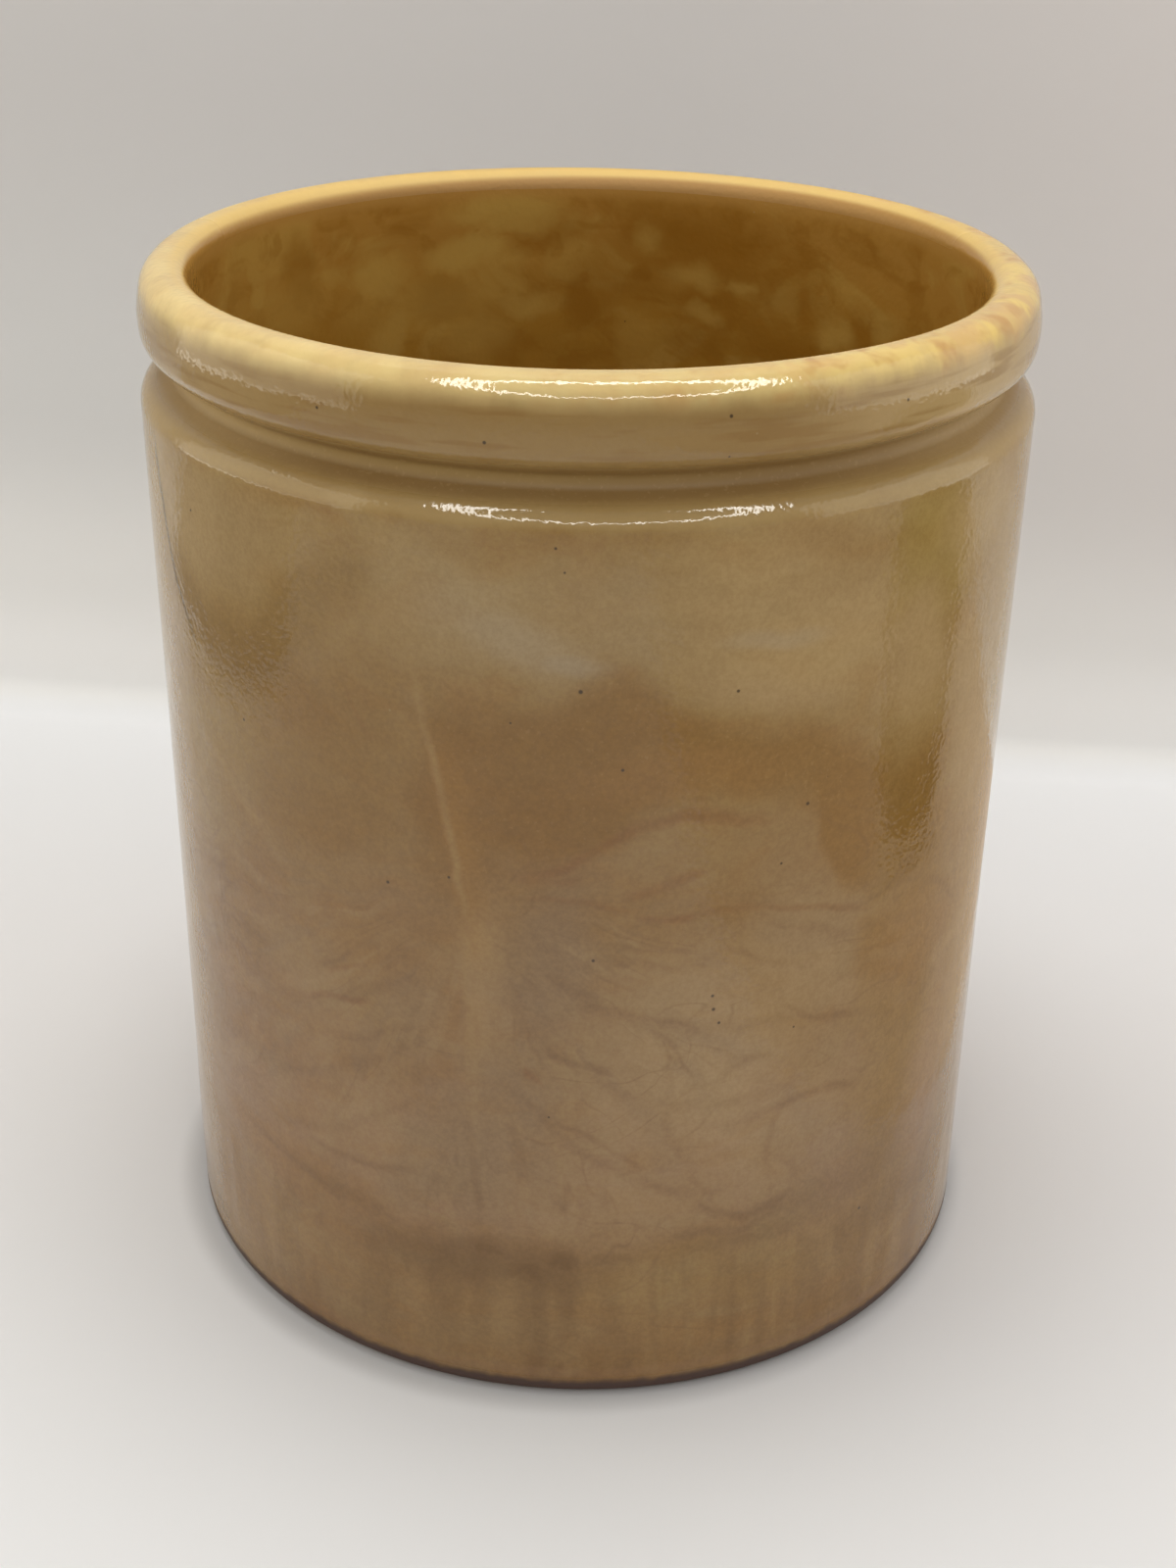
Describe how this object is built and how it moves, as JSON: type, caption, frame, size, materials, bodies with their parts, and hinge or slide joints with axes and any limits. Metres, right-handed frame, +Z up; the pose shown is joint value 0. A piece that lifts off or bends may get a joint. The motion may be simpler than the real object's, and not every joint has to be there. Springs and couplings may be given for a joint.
{
  "type": "stoneware jar",
  "caption": "Straight-sided glazed stoneware preserve jar with a rounded rim bead, a tie-down groove under it and an open mouth.",
  "frame": {"origin": "centre of the foot, on the plane the jar stands on", "axes": "+Z up along the jar's turning axis, out of the mouth"},
  "size_m": [0.0998, 0.0998, 0.12],
  "materials": {
    "glazed_stoneware": "glossy clear honey glaze over buff stoneware, with faint brown veins and iron specks"
  },
  "bodies": {
    "root": {"jar_body": "glazed_stoneware"}
  },
  "joints": []
}
